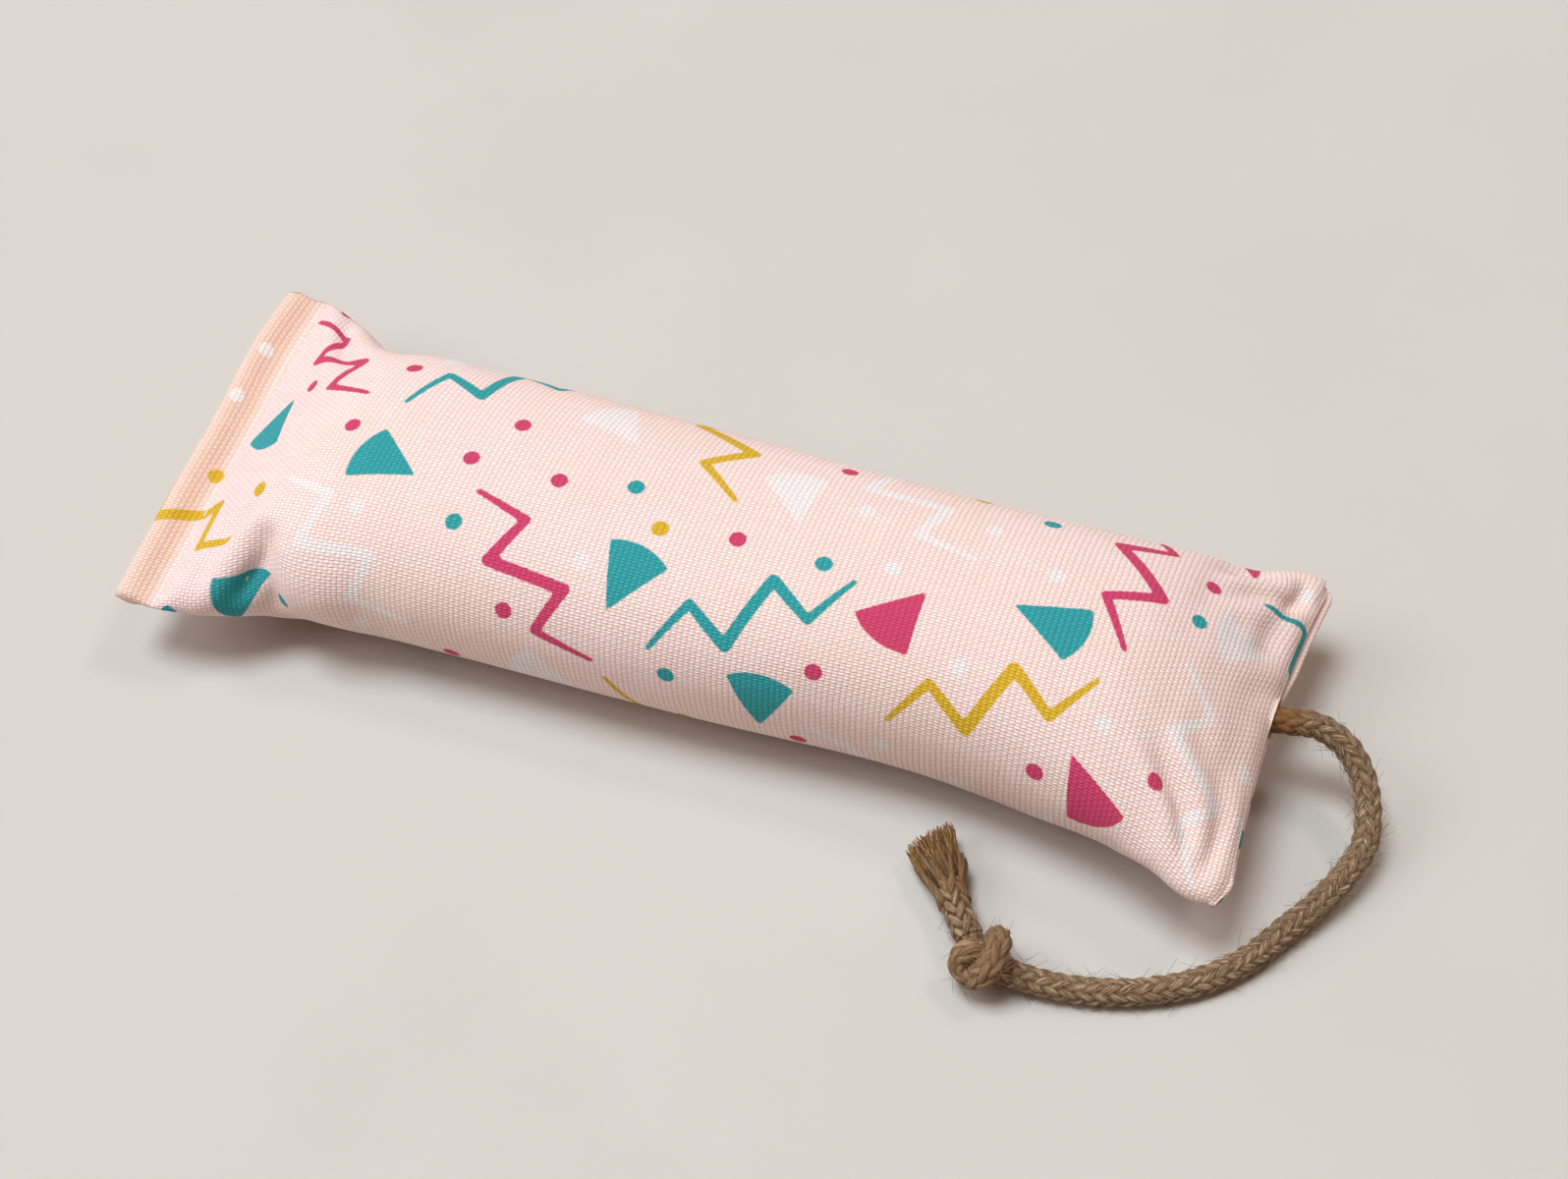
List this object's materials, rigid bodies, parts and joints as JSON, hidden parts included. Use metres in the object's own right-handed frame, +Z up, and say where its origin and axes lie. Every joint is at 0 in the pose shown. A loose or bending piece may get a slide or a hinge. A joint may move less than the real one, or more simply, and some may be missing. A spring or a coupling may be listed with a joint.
{
  "type": "training bumper",
  "caption": "Soft stuffed canvas dog-training bumper with a topstitched hem at one end and a knotted jute throwing cord at the other.",
  "frame": {"origin": "on the ground under the middle of the canvas body's box", "axes": "+X from the flat hem to the cord's end, +Z up, the body lying on its broad side"},
  "size_m": [0.2667, 0.1147, 0.0421],
  "materials": {
    "printed_canvas": "heavy basket-weave cotton canvas, peach ground with a confetti print",
    "sewing_thread": "matte cotton-wrapped sewing thread",
    "fibre_stuffing": "loose white polyester fibre",
    "jute": "braided natural jute with stray fibres"
  },
  "bodies": {
    "root": {"canvas_cover": "printed_canvas", "fibre_fill": "fibre_stuffing", "hem_needle_thread": "sewing_thread", "hem_bobbin_thread": "sewing_thread", "side_seam_needle_thread": "sewing_thread", "side_seam_bobbin_thread": "sewing_thread", "end_seam_needle_thread": "sewing_thread", "end_seam_bobbin_thread": "sewing_thread", "throw_cord": "jute", "cord_knot": "jute", "cord_tail": "jute", "frayed_end": "jute", "cord_stop_knot": "jute"}
  },
  "joints": []
}
